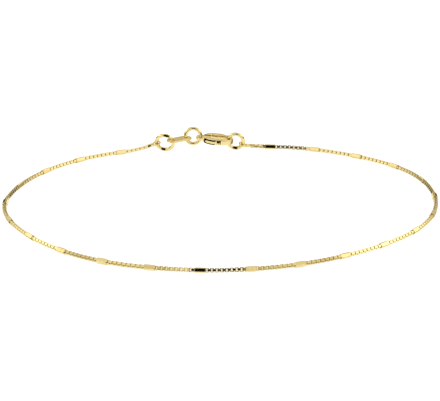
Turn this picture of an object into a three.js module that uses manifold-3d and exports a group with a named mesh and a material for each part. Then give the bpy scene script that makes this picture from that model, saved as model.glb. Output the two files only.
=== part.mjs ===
import * as THREE from 'three';
import { mergeVertices } from 'three/addons/utils/BufferGeometryUtils.js';
import Module from 'manifold-3d';

const wasm = await Module();
wasm.setup();

// Chain bracelet, laid out on a table as an open oval with its clasp at the back.
// Millimetres, +Z up. The origin is on the table, under the middle of the whole piece.
// +X runs along the oval's length and +Y points to the clasp.

// ---- driving dimensions -------------------------------------------------------------

const UP = new THREE.Vector3(0, 0, 1);
const radians = THREE.MathUtils.degToRad;

const BAR_COUNT = 23; // square tube bars along the chain
const BAR_PITCH = 7.5; // bar centre to bar centre, along the chain
const BAR_LENGTH = 1.6;
const BAR_WIDTH = 0.8; // across the flats, both ways
const BAR_CHAMFER = 0.2; // along the four long edges
const BAR_LIP = 0.06; // round the ends

const CHAIN_WIDTH = 0.6; // box chain, across the flats
const CHAIN_SIDES = 8;
const CHAIN_STEP = 1.2; // length of one straight piece of the modelled chain
const STRETCH_GAP = 0.06; // between two neighbouring stretches

// The oval that the chain lies in: an ellipse, a little fuller on the clasp's side, that
// strays a little to the front and the back.
const OVAL_HALF_LENGTH = 33.8;
const OVAL_HALF_DEPTH = 26.6;
const OVAL_FULLNESS = 0.03; // widening towards the clasp, as a share of the half length
const OVAL_TURN = radians(5);
const OVAL_WAVES = [{ count: 4, height: 0.3 }, { count: 6, height: 0.2 }]; // slight unevenness
const OVAL_CENTRE = new THREE.Vector3(0.07, 0.1, BAR_WIDTH / 2); // bars rest on the table
const OVAL_SAMPLES = 2000;

// Distances along the oval from its crown at the back, going to the right.
const CHAIN_START = 6.2;
const CHAIN_FINISH = 180.9;
const FIRST_BAR = 4.14; // from the chain's right end to the middle of its first bar
const LIFT = 5; // the chain leaves the table this far before each end
const SWAY = 14; // and leaves the oval sideways this far before each end

// Round jump rings, placed from the middle of the oval. A tilt of 90 stands upright, more
// leans to the front. A ring with no height stands on the table.
const WIRE_RADIUS = 0.31;
const RINGS = {
  left: { x: -9.3, y: 24.18, radius: 1.41, tilt: 106, yaw: -9 },
  middle: { x: -4.64, y: 25.84, height: 2.18, radius: 1.26, tilt: 80, yaw: 0 },
  right: { x: 2.4, y: 25.02, radius: 1.29, tilt: 98, yaw: -6 },
};
// Where the pieces cross the rings, in degrees round each ring from its right side.
const CROSSINGS = {
  chainOnLeft: 191,
  tagOnLeft: 19,
  tagOnMiddle: 196,
  claspOnMiddle: -12,
  claspOnRight: 177,
  chainOnRight: -26,
};

// Soldered loop on each end of the chain.
const LOOP_RADIUS = 0.56;
const LOOP_WIRE_RADIUS = 0.14;

// Flat tag between the left and the middle ring, with a hole for each.
const TAG_MARGIN = 1.02; // from the middle of a hole to the tag's end
const TAG_WIDTH = 1.85;
const TAG_THICKNESS = 0.35;
const TAG_HOLE_RADIUS = 0.6;
const TAG_BEVEL = 0.06;

// Lobster clasp in its own frame: x from the nose of the hook to the tail eye,
// y from the gate to the fixed arm, z through the thickness.
const CLASP_THICKNESS = 1.15;
const CLASP_BEVEL = 0.12;
const CLASP_ROLL = radians(7); // the fixed arm's side lies higher than the gate's
const NOSE = { x: -2.43, radius: 0.87, shoulder: radians(20), shoulderX: -1.7 };
const OPENING = { noseRadius: 0.5, right: 0.55, halfWidth: 0.62, cornerRadius: 0.25 };
const BODY = { x: -0.3, halfWidth: 1.36, shoulderX: 1 };
const WAIST = { x: 1.6, halfWidth: 0.6 };
const EYE = { x: 2.2, radius: 0.78, holeRadius: 0.52 };
const GRIP = -2.37; // the wire in the hook lies here
// The casting thins towards its nose and its tail, to a share of its thickness.
const NOSE_TAPER = { thick: -0.8, thin: -2.8, share: 0.82 };
const TAIL_TAPER = { thick: 1.2, thin: 1.95, share: 0.42 };
const PIVOT = { x: 0.5, y: -0.93 };
const PIN_RADIUS = 0.14;
const PIN_HOLE_RADIUS = 0.18;
const HOOK_END = -1.5; // the gate closes against the hook here
const CHEEK_END = -0.37; // the body's two cheeks hold the gate from here to the slot's end
const HOOK_CUT = { inner: -0.45, outer: -2 };
const SLOT = { end: 1.45, inner: -0.35, outer: -2, thickness: 0.8 };
// The gate's nose and its root keep these gaps to the hook and to the cheeks.
const GATE = { inner: -0.6, thickness: 1, bevel: 0.14, cornerRadius: 0.18 };
const GATE_GAPS = { nose: 0.06, root: 0.13 };
const TONGUE = { end: 1.3, thickness: 0.5 };
const NUB = { x: -0.93, y: -1.3, depth: 0.32, length: 0.6, height: 0.6 };

const ARC_SEGMENTS = 10;
const CAP_SEGMENTS = 4;
const RING_SEGMENTS = 24;
const WIRE_SIDES = 8;

// ---- solids -------------------------------------------------------------------------

/** Turns a closed three.js geometry into a solid that can be cut and joined. */
function solidOf(geometry) {
  const bare = geometry.clone();
  bare.deleteAttribute('normal');
  bare.deleteAttribute('uv');
  const merged = mergeVertices(bare, 1e-5);
  const mesh = new wasm.Mesh({
    numProp: 3,
    vertProperties: new Float32Array(merged.attributes.position.array),
    triVerts: new Uint32Array(merged.index.array),
  });
  return new wasm.Manifold(mesh);
}

/** Turns a solid back into a three.js geometry. */
function geometryOf(solid) {
  const mesh = solid.getMesh();
  const geometry = new THREE.BufferGeometry();
  const positions = new THREE.BufferAttribute(mesh.vertProperties, mesh.numProp);
  geometry.setAttribute('position', positions);
  geometry.setIndex(new THREE.BufferAttribute(mesh.triVerts, 1));
  return geometry;
}

/** A flat plate of an outline in x and y, centred on z = 0, with chamfered rims. */
function plate(outline, thickness, bevel) {
  const geometry = new THREE.ExtrudeGeometry(outline, {
    depth: thickness - 2 * bevel,
    bevelEnabled: bevel > 0,
    bevelThickness: bevel,
    bevelSize: bevel,
    bevelOffset: -bevel,
    bevelSegments: 2,
    curveSegments: ARC_SEGMENTS,
  });
  return geometry.translate(0, 0, bevel - thickness / 2);
}

/** A box between two corners, each an [x, y, z]. */
function block(low, high) {
  const size = high.map((value, axis) => value - low[axis]);
  const middle = high.map((value, axis) => (value + low[axis]) / 2);
  return new THREE.BoxGeometry(...size).translate(...middle);
}

/** A round pin along z. */
function pin(centre, radius, length) {
  const geometry = new THREE.CylinderGeometry(radius, radius, length, 2 * ARC_SEGMENTS);
  return geometry.rotateX(Math.PI / 2).translate(centre.x, centre.y, 0);
}

/** A matrix that takes local x, y and z to three directions at a place. */
function placement(xAxis, yAxis, zAxis, origin) {
  return new THREE.Matrix4().makeBasis(xAxis, yAxis, zAxis).setPosition(origin);
}

// ---- the lay of the chain -----------------------------------------------------------

class Oval extends THREE.Curve {
  getPoint(t, target = new THREE.Vector3()) {
    const angle = Math.PI / 2 - 2 * Math.PI * t;
    const fullness = 1 + OVAL_FULLNESS * Math.sin(angle);
    target.set(OVAL_HALF_LENGTH * Math.cos(angle) * fullness, OVAL_HALF_DEPTH * Math.sin(angle), 0);
    target.applyAxisAngle(UP, OVAL_TURN).add(OVAL_CENTRE);
    for (const { count, height } of OVAL_WAVES) target.y += height * Math.sin(count * angle);
    return target;
  }
}

const oval = new Oval();
oval.arcLengthDivisions = OVAL_SAMPLES;

/** The point of the oval at a distance from its crown, going to the right. */
function ovalPoint(distance) {
  return oval.getPointAt(distance / oval.getLength());
}

/** The frame of a ring: its centre, its level and its steep direction, and its axis. */
function ringFrame({ x, y, height, radius, tilt, yaw }) {
  const level = new THREE.Vector3(1, 0, 0).applyAxisAngle(UP, radians(yaw));
  const steep = new THREE.Vector3(0, Math.cos(radians(tilt)), Math.sin(radians(tilt)));
  steep.applyAxisAngle(UP, radians(yaw));
  const axis = new THREE.Vector3().crossVectors(level, steep);
  const z = height ?? radius * steep.z + WIRE_RADIUS;
  const centre = new THREE.Vector3(x + OVAL_CENTRE.x, y + OVAL_CENTRE.y, z);
  return { centre, level, steep, axis, radius };
}

/** The middle of a ring's wire at an angle, and the wire's direction there. */
function wireAt(frame, degrees) {
  const cosine = Math.cos(radians(degrees));
  const sine = Math.sin(radians(degrees));
  const point = frame.centre.clone();
  point.addScaledVector(frame.level, frame.radius * cosine);
  point.addScaledVector(frame.steep, frame.radius * sine);
  const along = frame.steep.clone().multiplyScalar(cosine).addScaledVector(frame.level, -sine);
  return { point, along };
}

const ringFrames = {
  left: ringFrame(RINGS.left),
  middle: ringFrame(RINGS.middle),
  right: ringFrame(RINGS.right),
};

/** The loop round a ring's wire, and the point on it where the chain is soldered. */
function endLoop(crossing, chainComesFrom) {
  const { point, along } = crossing;
  const outward = chainComesFrom.clone().sub(point).projectOnPlane(along).normalize();
  return { centre: point, outward, along, join: point.clone().addScaledVector(outward, LOOP_RADIUS) };
}

const rightLoop = endLoop(
  wireAt(ringFrames.right, CROSSINGS.chainOnRight),
  ovalPoint(CHAIN_START + LIFT),
);
const leftLoop = endLoop(
  wireAt(ringFrames.left, CROSSINGS.chainOnLeft),
  ovalPoint(CHAIN_FINISH - LIFT),
);

/** How much of an end's shift is left at a distance from that end, dying out at a reach. */
function shareLeft(distance, reach) {
  return Math.max(0, 1 - distance / reach) ** 2;
}

/** The chain's middle line from its right end to its left end, rising to the loops. */
class ChainLay extends THREE.Curve {
  constructor() {
    super();
    this.ends = [
      { at: CHAIN_START, shift: rightLoop.join.clone().sub(ovalPoint(CHAIN_START)) },
      { at: CHAIN_FINISH, shift: leftLoop.join.clone().sub(ovalPoint(CHAIN_FINISH)) },
    ];
  }

  getPoint(t, target = new THREE.Vector3()) {
    const distance = THREE.MathUtils.lerp(CHAIN_START, CHAIN_FINISH, t);
    target.copy(ovalPoint(distance));
    for (const { at, shift } of this.ends) {
      const sideways = shareLeft(Math.abs(distance - at), SWAY);
      const lifted = shareLeft(Math.abs(distance - at), LIFT);
      target.x += shift.x * sideways;
      target.y += shift.y * sideways;
      target.z += shift.z * lifted;
    }
    return target;
  }
}

const chainLay = new ChainLay();
chainLay.arcLengthDivisions = OVAL_SAMPLES;
const chainLength = chainLay.getLength();

/** A length of the chain's middle line between two distances from its right end. */
class Stretch extends THREE.Curve {
  constructor(from, to) {
    super();
    this.from = from;
    this.to = to;
  }

  getPoint(t, target = new THREE.Vector3()) {
    const distance = THREE.MathUtils.lerp(this.from, this.to, t);
    return target.copy(chainLay.getPointAt(distance / chainLength));
  }
}

// ---- chain, bars and end loops ------------------------------------------------------

/** A length of plain chain, as an octagonal tube. */
function chainTube(from, to) {
  const section = new THREE.Shape();
  const cornerRadius = CHAIN_WIDTH / 2 / Math.cos(Math.PI / CHAIN_SIDES);
  for (let side = 0; side < CHAIN_SIDES; side += 1) {
    const angle = ((2 * side + 1) * Math.PI) / CHAIN_SIDES;
    const x = cornerRadius * Math.cos(angle);
    const y = cornerRadius * Math.sin(angle);
    if (side === 0) section.moveTo(x, y);
    else section.lineTo(x, y);
  }
  section.closePath();
  return new THREE.ExtrudeGeometry(section, {
    steps: Math.max(1, Math.round((to - from) / CHAIN_STEP)),
    extrudePath: new Stretch(from, to),
  });
}

/** One square bar, at a distance along the chain, flat side down. */
function bar(distance) {
  const half = BAR_WIDTH / 2;
  const flat = half - BAR_CHAMFER;
  const section = new THREE.Shape();
  section.moveTo(half, -flat);
  section.lineTo(half, flat);
  section.lineTo(flat, half);
  section.lineTo(-flat, half);
  section.lineTo(-half, flat);
  section.lineTo(-half, -flat);
  section.lineTo(-flat, -half);
  section.lineTo(flat, -half);
  section.closePath();
  const geometry = new THREE.ExtrudeGeometry(section, {
    depth: BAR_LENGTH - 2 * BAR_LIP,
    bevelThickness: BAR_LIP,
    bevelSize: BAR_LIP,
    bevelOffset: -BAR_LIP,
    bevelSegments: 1,
  });
  geometry.translate(0, 0, BAR_LIP - BAR_LENGTH / 2);
  const along = chainLay.getTangentAt(distance / chainLength).projectOnPlane(UP).normalize();
  const across = new THREE.Vector3().crossVectors(UP, along);
  const middle = chainLay.getPointAt(distance / chainLength).setZ(OVAL_CENTRE.z);
  return geometry.applyMatrix4(placement(across, UP, along, middle));
}

/** A stretch of chain with its bar in the middle. */
function barredStretch(index) {
  const middle = FIRST_BAR + index * BAR_PITCH;
  const reach = (BAR_PITCH - STRETCH_GAP) / 2;
  const tube = solidOf(chainTube(middle - reach, middle + reach));
  return geometryOf(tube.add(solidOf(bar(middle))));
}

/** The last length of chain, with the loop soldered to it. */
function chainEnd(loop, from, to) {
  const torus = new THREE.TorusGeometry(
    LOOP_RADIUS, LOOP_WIRE_RADIUS, WIRE_SIDES, RING_SEGMENTS,
  );
  const sideways = new THREE.Vector3().crossVectors(loop.along, loop.outward);
  torus.applyMatrix4(placement(loop.outward, sideways, loop.along, loop.centre));
  return geometryOf(solidOf(torus).add(solidOf(chainTube(from, to))));
}

// ---- rings, tag and clasp -----------------------------------------------------------

function jumpRing(frame) {
  const torus = new THREE.TorusGeometry(frame.radius, WIRE_RADIUS, WIRE_SIDES, RING_SEGMENTS);
  return torus.applyMatrix4(placement(frame.level, frame.steep, frame.axis, frame.centre));
}

/** Places a flat piece between two points, as level as it can lie. */
function levelPlacement(from, to, share) {
  const along = to.clone().sub(from).normalize();
  const across = new THREE.Vector3().crossVectors(UP, along).normalize();
  const above = new THREE.Vector3().crossVectors(along, across);
  return placement(along, across, above, from.clone().lerp(to, share));
}

function circle(x, y, radius) {
  return new THREE.Path().absarc(x, y, radius, 0, 2 * Math.PI, true);
}

function tagPlate(holeSpacing) {
  const hole = holeSpacing / 2;
  const endCentre = hole + TAG_MARGIN - TAG_WIDTH / 2;
  const outline = new THREE.Shape();
  outline.absarc(endCentre, 0, TAG_WIDTH / 2, -Math.PI / 2, Math.PI / 2, false);
  outline.absarc(-endCentre, 0, TAG_WIDTH / 2, Math.PI / 2, (3 * Math.PI) / 2, false);
  outline.closePath();
  outline.holes.push(circle(hole, 0, TAG_HOLE_RADIUS), circle(-hole, 0, TAG_HOLE_RADIUS));
  return plate(outline, TAG_THICKNESS, TAG_BEVEL);
}

/** The clasp's outline, without its opening and the eye's hole. */
function claspOutline() {
  const outline = new THREE.Shape();
  const { shoulderX, halfWidth } = BODY;
  const armEnd = Math.PI / 2 + NOSE.shoulder;
  const armX = NOSE.x + NOSE.radius * Math.cos(armEnd);
  const armY = NOSE.radius * Math.sin(armEnd);
  outline.absarc(EYE.x, 0, EYE.radius, -Math.PI / 2, Math.PI / 2, false);
  outline.bezierCurveTo(WAIST.x, WAIST.halfWidth, shoulderX, halfWidth, BODY.x, halfWidth);
  outline.quadraticCurveTo(NOSE.shoulderX, halfWidth, armX, armY);
  outline.absarc(NOSE.x, 0, NOSE.radius, armEnd, 2 * Math.PI - armEnd, false);
  outline.quadraticCurveTo(NOSE.shoulderX, -halfWidth, BODY.x, -halfWidth);
  outline.bezierCurveTo(shoulderX, -halfWidth, WAIST.x, -WAIST.halfWidth, EYE.x, -EYE.radius);
  return outline;
}

/** The space inside the hook, from its nose to the body. */
function claspOpening() {
  const { noseRadius, right, halfWidth, cornerRadius } = OPENING;
  const corner = halfWidth - cornerRadius;
  const opening = new THREE.Path();
  opening.absarc(NOSE.x, 0, noseRadius, -Math.PI / 2, Math.PI / 2, true);
  opening.absarc(right - cornerRadius, corner, cornerRadius, Math.PI / 2, 0, true);
  opening.absarc(right - cornerRadius, -corner, cornerRadius, 0, -Math.PI / 2, true);
  opening.closePath();
  return opening;
}

/** Moves a point of the casting inwards, towards both its ends. */
function thin(point) {
  const nose = THREE.MathUtils.smoothstep(point[0], NOSE_TAPER.thin, NOSE_TAPER.thick);
  const tail = THREE.MathUtils.smoothstep(-point[0], -TAIL_TAPER.thin, -TAIL_TAPER.thick);
  point[2] *= THREE.MathUtils.lerp(NOSE_TAPER.share, 1, nose);
  point[2] *= THREE.MathUtils.lerp(TAIL_TAPER.share, 1, tail);
}

/** A plate of an outline in x and z, standing on edge between two places in y. */
function standing(outline, low, high) {
  const upright = plate(outline, high - low, 0).rotateX(Math.PI / 2);
  return upright.translate(0, (low + high) / 2, 0);
}

/** A bar shape from one place in x to another, with a round far end. */
function roundEnded(from, to, thickness) {
  const radius = thickness / 2;
  const shape = new THREE.Shape();
  shape.moveTo(from, -radius);
  shape.lineTo(to - radius, -radius);
  shape.absarc(to - radius, 0, radius, -Math.PI / 2, Math.PI / 2, false);
  shape.lineTo(from, radius);
  shape.closePath();
  return shape;
}

/** Hook, body with the pivot pin, and tail eye, cast in one piece. */
function claspFrame() {
  const clear = CLASP_THICKNESS; // the cut runs past both faces
  const casting = claspOutline();
  casting.holes.push(claspOpening(), circle(EYE.x, 0, EYE.holeRadius));
  const cut = block([HOOK_END, HOOK_CUT.outer, -clear], [CHEEK_END, HOOK_CUT.inner, clear]);
  const slot = roundEnded(HOOK_END, SLOT.end, SLOT.thickness);
  return solidOf(plate(casting, CLASP_THICKNESS, CLASP_BEVEL))
    .warp(thin)
    .subtract(solidOf(cut))
    .subtract(solidOf(standing(slot, SLOT.outer, SLOT.inner)))
    .add(solidOf(pin(PIVOT, PIN_RADIUS, CLASP_THICKNESS)));
}

/** The lever from the front: the thick gate, and the thin tongue between the cheeks. */
function leverFace() {
  const { thickness, cornerRadius } = GATE;
  const nose = HOOK_END + GATE_GAPS.nose + cornerRadius;
  const root = CHEEK_END - GATE_GAPS.root;
  const flank = thickness / 2 - cornerRadius;
  const tongueHalf = TONGUE.thickness / 2;
  const face = new THREE.Shape();
  face.moveTo(root, thickness / 2);
  face.lineTo(nose, thickness / 2);
  face.absarc(nose, flank, cornerRadius, Math.PI / 2, Math.PI, false);
  face.absarc(nose, -flank, cornerRadius, Math.PI, (3 * Math.PI) / 2, false);
  face.lineTo(root, -thickness / 2);
  face.lineTo(root, -tongueHalf);
  face.absarc(TONGUE.end - tongueHalf, 0, tongueHalf, -Math.PI / 2, Math.PI / 2, false);
  face.lineTo(root, tongueHalf);
  face.closePath();
  return face;
}

/** The sprung lever, which follows the clasp's outline, with a ridge for the thumb. */
function claspLever() {
  const { depth, length, height } = NUB;
  const nub = new THREE.CapsuleGeometry(depth / 2, length - depth, CAP_SEGMENTS, ARC_SEGMENTS);
  nub.rotateZ(Math.PI / 2).scale(1, 1, height / depth).translate(NUB.x, NUB.y, 0);
  return solidOf(plate(claspOutline(), GATE.thickness, GATE.bevel))
    .intersect(solidOf(standing(leverFace(), SLOT.outer, GATE.inner)))
    .add(solidOf(nub))
    .subtract(solidOf(pin(PIVOT, PIN_HOLE_RADIUS, GATE.thickness)));
}

// ---- assembly -----------------------------------------------------------------------

const polishedGold = { color: 0xe0c070, roughness: 0.15, metalness: 1.0 };

function piece(name, geometry, finish = polishedGold) {
  const mesh = new THREE.Mesh(geometry, new THREE.MeshStandardMaterial(finish));
  mesh.name = name;
  return mesh;
}

const bracelet = new THREE.Group();

for (let index = 0; index < BAR_COUNT; index += 1) {
  const number = String(index + 1).padStart(2, '0');
  bracelet.add(piece(`chain_stretch_${number}`, barredStretch(index)));
}
const firstStretchStart = FIRST_BAR - BAR_PITCH / 2;
const lastStretchEnd = firstStretchStart + BAR_COUNT * BAR_PITCH;
bracelet.add(
  piece('chain_end_right', chainEnd(rightLoop, 0, firstStretchStart - STRETCH_GAP / 2)),
  piece('chain_end_left', chainEnd(leftLoop, lastStretchEnd + STRETCH_GAP / 2, chainLength)),
  piece('ring_left', jumpRing(ringFrames.left)),
  piece('ring_middle', jumpRing(ringFrames.middle)),
  piece('ring_right', jumpRing(ringFrames.right)),
);

const tagStart = wireAt(ringFrames.left, CROSSINGS.tagOnLeft).point;
const tagFinish = wireAt(ringFrames.middle, CROSSINGS.tagOnMiddle).point;
const tag = piece('tag', tagPlate(tagStart.distanceTo(tagFinish)));
tag.applyMatrix4(levelPlacement(tagStart, tagFinish, 0.5));
bracelet.add(tag);

const hooked = wireAt(ringFrames.right, CROSSINGS.claspOnRight).point;
const threaded = wireAt(ringFrames.middle, CROSSINGS.claspOnMiddle).point;
const clasp = new THREE.Group();
clasp.add(piece('clasp_frame', geometryOf(claspFrame())));
clasp.add(piece('clasp_lever', geometryOf(claspLever())));
// The clasp lies on its back, so that its gate is at the front.
const turnedOver = new THREE.Matrix4().makeRotationX(Math.PI - CLASP_ROLL);
const toGrip = new THREE.Matrix4().makeTranslation(-GRIP, 0, 0);
clasp.applyMatrix4(levelPlacement(hooked, threaded, 0).multiply(turnedOver).multiply(toGrip));
bracelet.add(clasp);

export default bracelet;
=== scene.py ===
"""Fine chain bracelet in polished yellow gold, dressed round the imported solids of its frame.

The box chain, its square bars, the jump rings, the tag and the lobster clasp are modelled in
millimetres along the same route as the solids, and each finished mesh is turned to metres.
"""

import logging
import math
from dataclasses import dataclass, field
from enum import Enum
from typing import Callable, Iterable, Sequence

import bmesh
import bpy
import numpy as np
from mathutils import Matrix, Vector


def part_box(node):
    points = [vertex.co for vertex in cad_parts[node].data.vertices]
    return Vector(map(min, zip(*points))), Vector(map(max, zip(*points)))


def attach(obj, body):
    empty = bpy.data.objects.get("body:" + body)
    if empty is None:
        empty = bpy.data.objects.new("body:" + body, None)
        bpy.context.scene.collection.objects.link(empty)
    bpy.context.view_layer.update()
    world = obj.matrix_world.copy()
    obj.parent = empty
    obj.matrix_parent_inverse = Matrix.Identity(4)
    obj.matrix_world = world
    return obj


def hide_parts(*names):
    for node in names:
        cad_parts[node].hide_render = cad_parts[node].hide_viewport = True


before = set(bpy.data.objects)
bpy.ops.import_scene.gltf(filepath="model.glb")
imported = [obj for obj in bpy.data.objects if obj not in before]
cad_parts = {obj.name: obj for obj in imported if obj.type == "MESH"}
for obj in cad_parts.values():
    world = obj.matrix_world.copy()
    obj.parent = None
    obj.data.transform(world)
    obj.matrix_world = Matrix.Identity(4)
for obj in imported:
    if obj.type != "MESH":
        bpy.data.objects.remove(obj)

log = logging.getLogger("chain_bracelet")

MM = 0.001
UP = Vector((0, 0, 1))
X_AXIS, Z_AXIS = 0, 2
ALONG = 0.9  # the cosine from which an edge or a normal counts as lying along an axis
WELD = 1e-6
PLATE_WELD = 1e-4
PIN_SIDES = 40
PIN_RIM_FACES = 3
SMOOTH_ANGLE = math.radians(35)
FLATS_WEIGHT = 100
FRAME_BODY = "bracelet"
LEVER_BODY = "lever"
# Painted shade: a face attribute that darkens the gold in recesses, slits and crevices.
PAINTED_SHADE = "painted_shade"

# The sockets of a Mix node, by number, as its three kinds share their names.
MIX_SHARE, MIX_VALUE_A, MIX_COLOUR_A, MIX_COLOUR_B = 0, 2, 6, 7
MIXED_VALUE, MIXED_COLOUR = 0, 2

BMesh = bmesh.types.BMesh
Mesh = bpy.types.Mesh
Socket = bpy.types.NodeSocket
Tree = bpy.types.NodeTree
Point = tuple[float, float]

# The solids' own box, taken before any piece is made.
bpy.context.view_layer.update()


class Slot(Enum):
    """The three groups of pieces, which set how each piece is shaded."""

    CHAIN = "chain_gold"
    RING = "ring_gold"
    CLASP = "clasp_gold"


# ---- finishes -----------------------------------------------------------------------


def linear(hex_colour: str) -> tuple[float, float, float, float]:
    """Turns an sRGB colour into linear light.

    Args:
        hex_colour: The colour as "#rrggbb".

    Returns:
        Red, green, blue and an alpha of 1.
    """
    channels = [int(hex_colour[at : at + 2], 16) / 255 for at in (1, 3, 5)]
    light = [c / 12.92 if c <= 0.04045 else ((c + 0.055) / 1.055) ** 2.4 for c in channels]
    return (light[0], light[1], light[2], 1.0)


def add_node(tree: Tree, kind: str, settings: dict, links: dict) -> bpy.types.Node:
    """Adds one node to a material or a world.

    Args:
        tree: The node tree that gets the node.
        kind: The node's type, without "ShaderNode".
        settings: Values by property name, or by input name for a socket.
        links: Output sockets by the name or number of the input that they feed.

    Returns:
        The new node.
    """
    node = tree.nodes.new("ShaderNode" + kind)
    for name, value in settings.items():
        if name in node.inputs:
            node.inputs[name].default_value = value
        else:
            setattr(node, name, value)
    for name, socket in links.items():
        tree.links.new(socket, node.inputs[name])
    return node


def remapped(tree: Tree, value: Socket, source: Point, target: Point) -> Socket:
    """Maps one range of a value, from its low to its high end, on another range.

    Args:
        tree: The node tree that gets the node.
        value: The value's output socket.
        source: The range that the value has.
        target: The range that it gets.

    Returns:
        The output socket of the new value.
    """
    names = ("From Min", "From Max", "To Min", "To Max")
    settings = dict(zip(names, (*source, *target)))
    return add_node(tree, "MapRange", settings, {"Value": value}).outputs["Result"]


def new_material(name: str) -> bpy.types.Material:
    """Makes a material with an empty node tree.

    Args:
        name: The material's name.

    Returns:
        The material.
    """
    material = bpy.data.materials.new(name)
    material.use_nodes = True
    material.node_tree.nodes.clear()
    return material


@dataclass(frozen=True)
class YellowGold:
    """Polished yellow gold alloy, cast or drawn, then tumbled and buffed.

    Buffing leaves a mirror with a soft waviness a few tenths of a millimetre across, faint
    hair scratches, and a trace of compound that warms the colour in places. The scratches
    are drawn coarser than real ones, which are too fine to show.
    """

    name: str
    colour: str = "#e1d095"
    warm_colour: str = "#dac383"
    roughness: float = 0.07
    roughness_spread: float = 0.05
    waviness_mm: float = 0.5
    scratch_mm: float = 0.06
    tone_mm: float = 0.9
    wave_height_mm: float = 0.0006
    scratch_height_mm: float = 0.0002
    # The painted shade's dark colour, and the roughness that goes with it.
    painted_shade_colour: str = "#1c1206"
    painted_shade_roughness: float = 0.5
    warm_range: Point = (0.45, 0.75)
    scratch_range: Point = (0.3, 0.7)
    scratch_distortion: float = 1.5
    tone_detail: float = 2.0
    wave_detail: float = 1.0
    scratch_detail: float = 3.0

    def noise(self, tree: Tree, size_mm: float, detail: float, distortion: float = 0.0) -> Socket:
        """Adds a noise in the object's own space, with blotches of a size in millimetres.

        Args:
            tree: The material's node tree.
            size_mm: The size of its blotches.
            detail: How many finer layers it has.
            distortion: How far it is bent.

        Returns:
            Its output socket, 0 to 1.
        """
        place = add_node(tree, "TexCoord", {}, {}).outputs["Object"]
        settings = {"Scale": 1 / (size_mm * MM), "Detail": detail, "Distortion": distortion}
        return add_node(tree, "TexNoise", settings, {"Vector": place}).outputs["Fac"]

    def colour_socket(self, tree: Tree, painted_shade: Socket) -> Socket:
        """The gold's colour, warmer in blotches and darkened where shade is painted in recesses.

        Args:
            tree: The material's node tree.
            painted_shade: The share of painted shade.

        Returns:
            The colour's output socket.
        """
        tone = self.noise(tree, self.tone_mm, self.tone_detail)
        warmth = remapped(tree, tone, self.warm_range, (0.0, 1.0))
        gold = add_node(tree, "Mix", {"data_type": "RGBA"}, {MIX_SHARE: warmth})
        gold.inputs[MIX_COLOUR_A].default_value = linear(self.colour)
        gold.inputs[MIX_COLOUR_B].default_value = linear(self.warm_colour)
        links = {MIX_SHARE: painted_shade, MIX_COLOUR_A: gold.outputs[MIXED_COLOUR]}
        # Mixes in the dark colour of the painted shade.
        shaded_gold = add_node(tree, "Mix", {"data_type": "RGBA"}, links)
        shaded_gold.inputs[MIX_COLOUR_B].default_value = linear(self.painted_shade_colour)
        return shaded_gold.outputs[MIXED_COLOUR]

    def roughness_socket(self, tree: Tree, painted_shade: Socket, scratches: Socket) -> Socket:
        """The gold's roughness, higher along scratches and where shade is painted.

        Args:
            tree: The material's node tree.
            painted_shade: The share of painted shade.
            scratches: The pattern of scratches.

        Returns:
            The roughness's output socket.
        """
        spread = self.roughness_spread / 2
        limits = (self.roughness - spread, self.roughness + spread)
        gloss = remapped(tree, scratches, self.scratch_range, limits)
        settings = {"data_type": "FLOAT", "B": self.painted_shade_roughness}
        dulled = add_node(tree, "Mix", settings, {MIX_SHARE: painted_shade, MIX_VALUE_A: gloss})
        return dulled.outputs[MIXED_VALUE]

    def material(self) -> bpy.types.Material:
        """Builds the finish as a node material.

        Returns:
            The material.
        """
        material = new_material(self.name)
        tree = material.node_tree
        # Reads where dark shade is painted, from the faces' attribute.
        marks = {"attribute_type": "GEOMETRY", "attribute_name": PAINTED_SHADE}
        painted_shade = add_node(tree, "Attribute", marks, {}).outputs["Fac"]
        detail, distortion = self.scratch_detail, self.scratch_distortion
        scratches = self.noise(tree, self.scratch_mm, detail, distortion)
        surface = {}
        reliefs = (
            (self.wave_height_mm, self.noise(tree, self.waviness_mm, self.wave_detail)),
            (self.scratch_height_mm, scratches),
        )
        for height_mm, pattern in reliefs:
            settings = {"Strength": 1.0, "Distance": height_mm * MM}
            bump = add_node(tree, "Bump", settings, {"Height": pattern, **surface})
            surface = {"Normal": bump.outputs["Normal"]}
        links = {
            "Base Color": self.colour_socket(tree, painted_shade),
            "Roughness": self.roughness_socket(tree, painted_shade, scratches),
            **surface,
        }
        shader = add_node(tree, "BsdfPrincipled", {"Metallic": 1.0}, links)
        add_node(tree, "OutputMaterial", {}, {"Surface": shader.outputs["BSDF"]})
        return material


@dataclass(frozen=True)
class MattPaper:
    """A matt paper or card surface of the studio, or a pane that is lit from below."""

    name: str
    colour: str
    glow: float = 0.0
    glow_colour: str = "#ffffff"
    roughness: float = 0.9

    def material(self) -> bpy.types.Material:
        """Builds the finish as a node material.

        Returns:
            The material.
        """
        material = new_material(self.name)
        settings = {
            "Base Color": linear(self.colour),
            "Roughness": self.roughness,
            "Specular IOR Level": 0.0,
            "Emission Color": linear(self.glow_colour),
            "Emission Strength": self.glow,
        }
        shader = add_node(material.node_tree, "BsdfPrincipled", settings, {}).outputs["BSDF"]
        add_node(material.node_tree, "OutputMaterial", {}, {"Surface": shader})
        return material


# ---- mesh helpers -------------------------------------------------------------------


def mesh_of(bm: BMesh, name: str) -> Mesh:
    """Turns a bmesh into a mesh, with its faces pointing out, and frees the bmesh.

    Args:
        bm: The bmesh, which is gone afterwards.
        name: The mesh's name.

    Returns:
        The mesh.
    """
    bmesh.ops.remove_doubles(bm, verts=bm.verts, dist=WELD)
    bmesh.ops.recalc_face_normals(bm, faces=bm.faces)
    mesh = bpy.data.meshes.new(name)
    bm.to_mesh(mesh)
    bm.free()
    return mesh


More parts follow.
